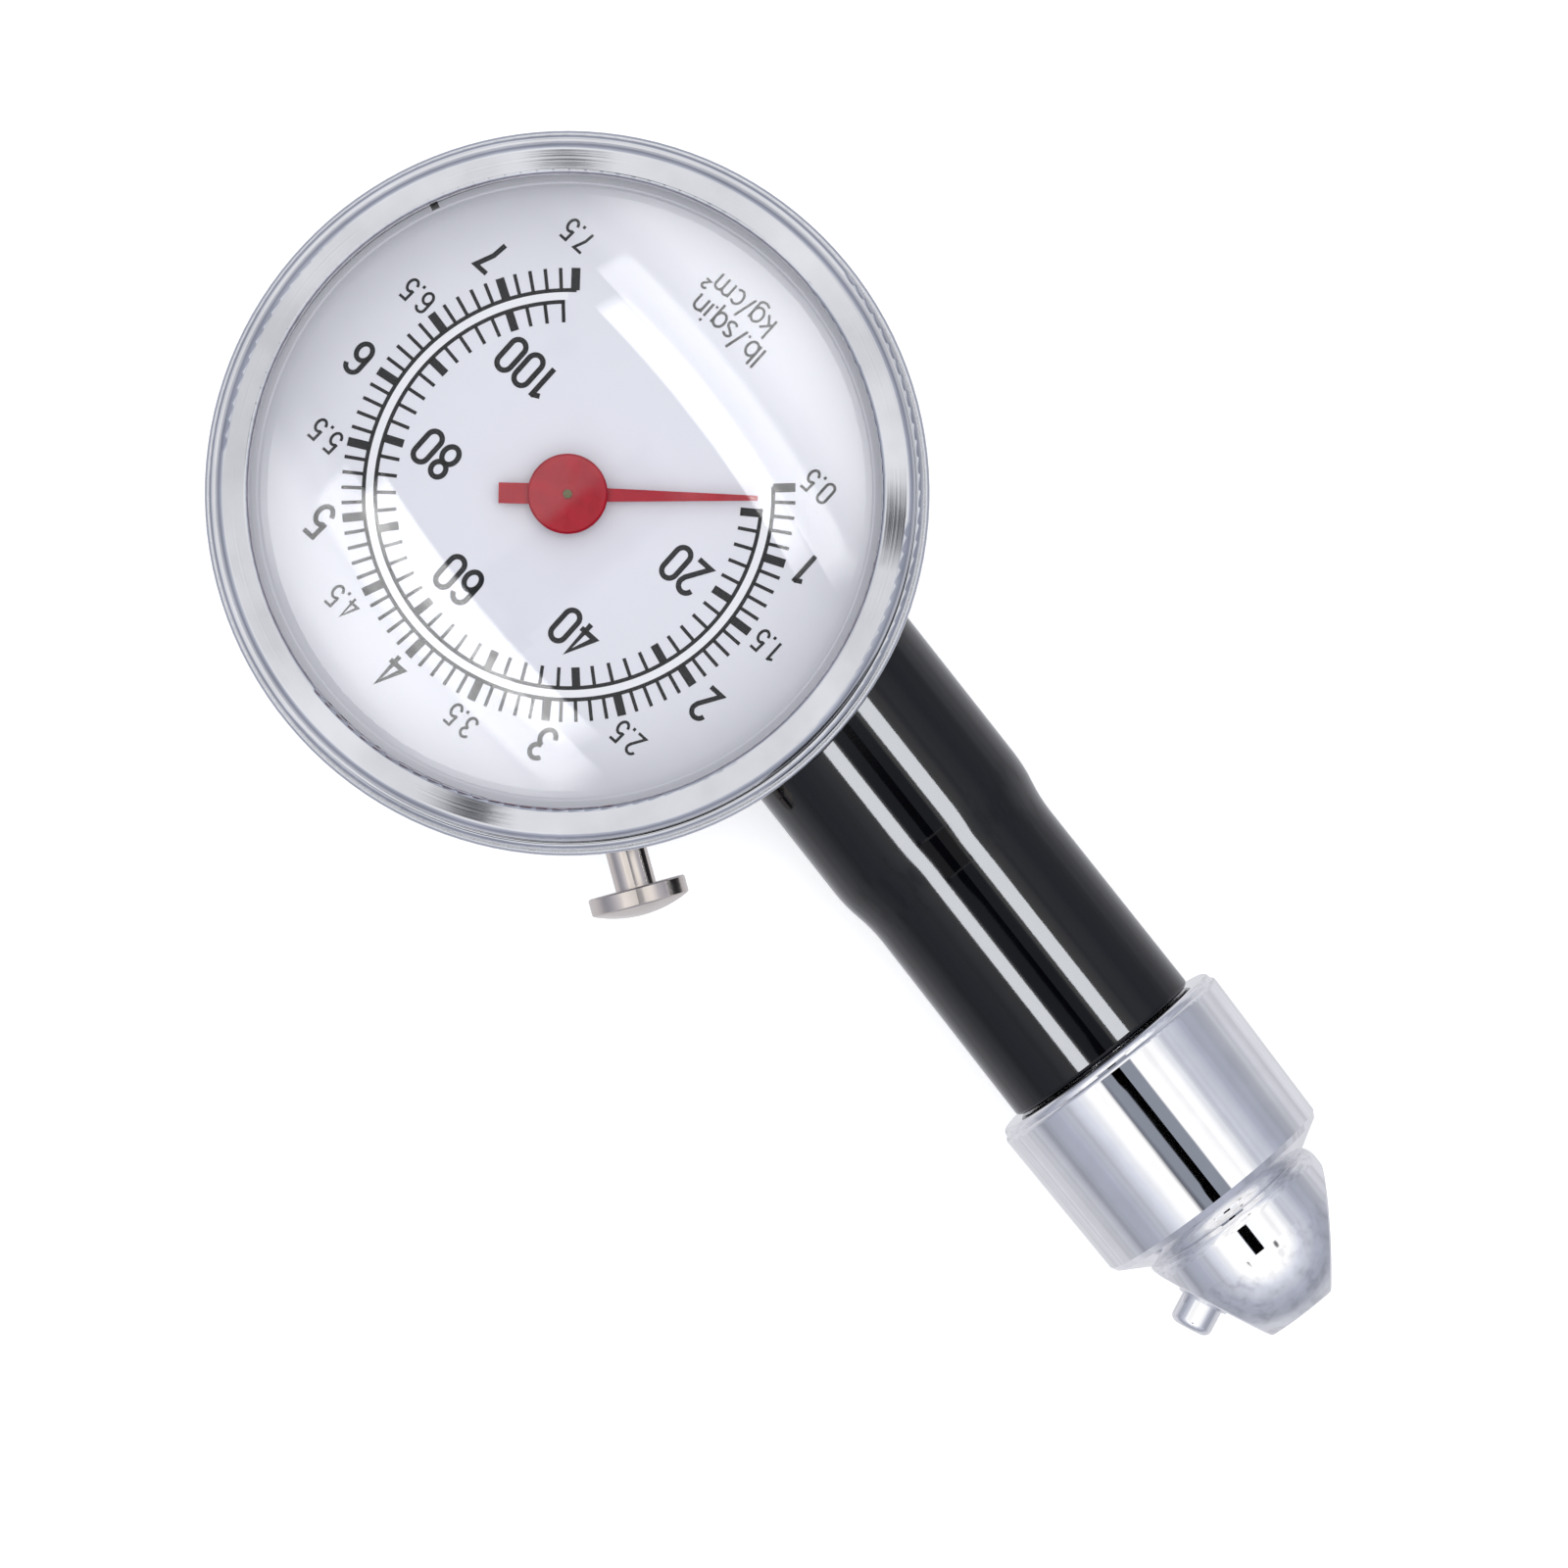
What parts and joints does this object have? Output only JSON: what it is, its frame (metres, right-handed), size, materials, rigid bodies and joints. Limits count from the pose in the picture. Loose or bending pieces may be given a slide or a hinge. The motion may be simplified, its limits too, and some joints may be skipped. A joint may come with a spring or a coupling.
{
  "type": "tire pressure gauge",
  "caption": "Hand-held dial tire pressure gauge with a rubber grip, angled valve chuck and a bleed button on the case.",
  "frame": {"origin": "centre of the flat back of the case, on the dial's axis", "axes": "+X along the handle towards the chuck, +Z out of the dial, +Y towards the chuck's mouth side"},
  "size_m": [0.1098, 0.054, 0.0275],
  "materials": {
    "case_steel": "nickel grey drawn steel",
    "bezel_chrome": "bright plated",
    "clear_window": "clear polished plastic",
    "black_rubber": "soft black",
    "dial_white": "white enamel",
    "pointer_red": "red lacquer",
    "brass": "turned brass",
    "bourdon_bronze": "drawn bronze tube",
    "screw_steel": "zinc plated",
    "spring_steel": "bright wire",
    "stem_steel": "turned",
    "button_nickel": "warm nickel plate",
    "grip_rubber": "black moulded rubber",
    "chuck_chrome": "bright plated"
  },
  "bodies": {
    "gauge_body": {"case_cup": "case_steel", "bezel_ring": "bezel_chrome", "lens": "clear_window", "lens_gasket": "black_rubber", "chuck_seal": "black_rubber", "dial_plate": "dial_white", "tip_block": "brass", "socket_block": "brass", "movement_back_plate": "brass", "movement_front_plate": "brass", "movement_pillars": "brass", "bleed_bush": "brass", "depressor": "brass", "bourdon_tube": "bourdon_bronze", "hairspring": "bourdon_bronze", "socket_screws": "screw_steel", "pillar_screws": "screw_steel", "arm_screws": "screw_steel", "bleed_spring": "spring_steel", "check_spring": "spring_steel", "inlet_stem": "stem_steel", "grip": "grip_rubber", "ferrule": "chuck_chrome", "chuck_body": "chuck_chrome", "nib": "chuck_chrome"},
    "sector": {"sector_gear": "brass", "sector_arbor": "brass", "tail_pin": "brass"},
    "link": {"link": "brass", "link_tip_pin": "brass"},
    "pointer": {"pointer": "pointer_red", "pointer_hub": "pointer_red", "pinion_arbor": "brass", "hairspring_collet": "brass"},
    "bleed_button": {"bleed_button": "button_nickel", "bleed_poppet": "brass", "bleed_seal": "black_rubber"},
    "check_ball": {"check_ball": "spring_steel"}
  },
  "joints": [
    {"name": "sector_swing", "type": "hinge", "parent": "gauge_body", "child": "sector", "pos_m": [-0.00562, 0.00974, 0.0072], "axis": [0, 0, 1], "range_deg": [0, 33.88], "stiffness_Nm_per_rad": 0.001, "springref_deg": -5.73},
    {"name": "pointer_spin", "type": "hinge", "parent": "gauge_body", "child": "pointer", "pos_m": [0, 0, 0.0175], "axis": [0, 0, 1], "range_deg": [-271, 0]},
    {"name": "link_swing", "type": "hinge", "parent": "sector", "child": "link", "pos_m": [-0.00643, 0.01325, 0.01175], "axis": [0, 0, 1], "range_deg": [-13.55, 0]},
    {"name": "bleed_press", "type": "slide", "parent": "gauge_body", "child": "bleed_button", "axis": [-0.9205, 0.3907, 0], "range_m": [0, 0.0015], "stiffness_N_per_m": 900, "springref_m": -0.0015, "deforming": ["bleed_spring"]},
    {"name": "check_lift", "type": "slide", "parent": "gauge_body", "child": "check_ball", "axis": [-1, 0, 0], "range_m": [0, 0.0006], "stiffness_N_per_m": 150, "springref_m": -0.001, "deforming": ["check_spring"]}
  ],
  "couplings": [
    {"joint": "pointer_spin", "follows": "sector_swing", "ratio": -8},
    {"joint": "link_swing", "follows": "sector_swing", "ratio": -0.4}
  ]
}
